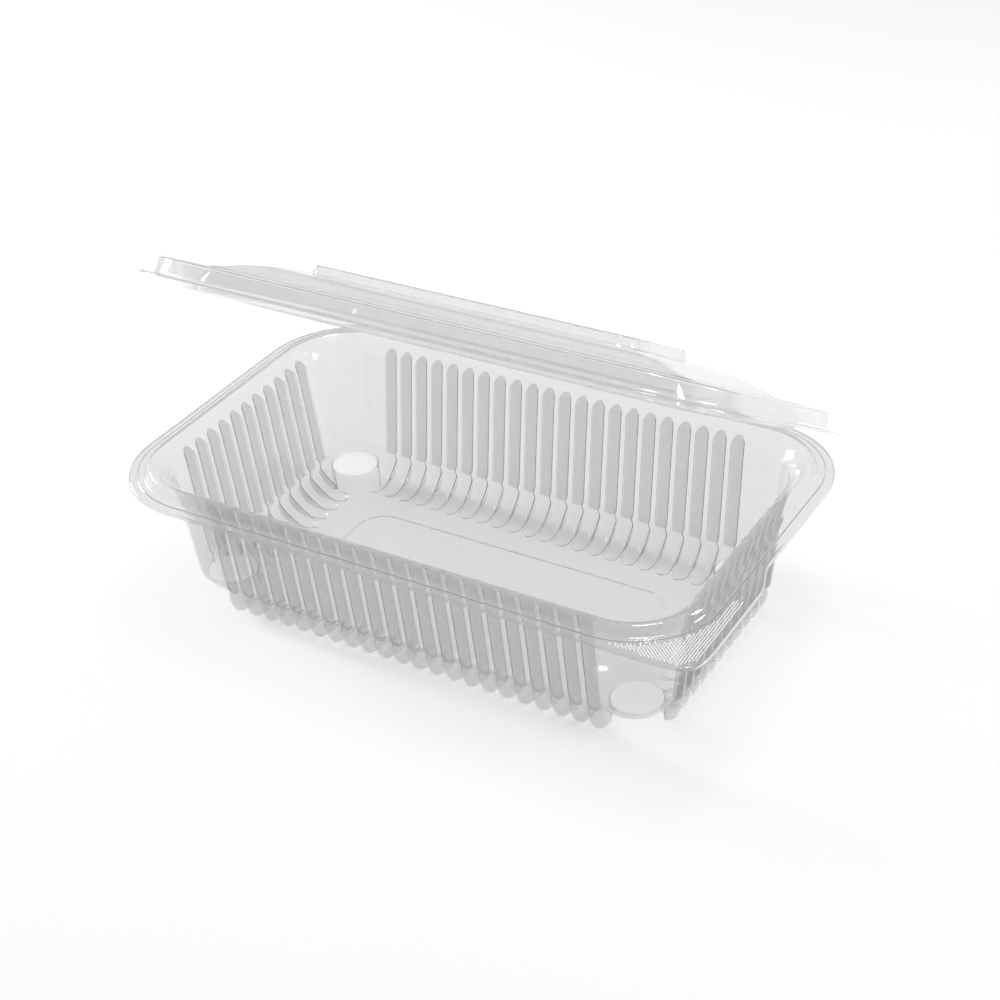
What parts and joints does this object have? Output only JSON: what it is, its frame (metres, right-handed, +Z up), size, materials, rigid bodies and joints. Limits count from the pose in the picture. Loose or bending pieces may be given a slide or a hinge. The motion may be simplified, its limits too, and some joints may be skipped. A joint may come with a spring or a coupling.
{
  "type": "takeaway meal container",
  "caption": "Clear plastic meal container: a deep fluted rectangular tray and a raised lid that opens on a living hinge along its long back edge.",
  "frame": {"origin": "on the ground, under the middle of the whole as it stands with its lid part open", "axes": "+Z up, +X along the hinge towards the pull tab, -Y towards the front edge, where the lid lifts"},
  "size_m": [0.2178, 0.1378, 0.1259],
  "materials": {
    "clear_sheet": "clear thermoformed PET sheet, glossy, with slightly wavy walls"
  },
  "bodies": {
    "tray": {"tray": "clear_sheet"},
    "lid": {"lid": "clear_sheet"}
  },
  "joints": [
    {"name": "lid_hinge", "type": "hinge", "parent": "tray", "child": "lid", "pos_m": [-0.0019, 0.06802, 0.05117], "axis": [-1, 0, 0], "range_deg": [-32, 148]}
  ]
}
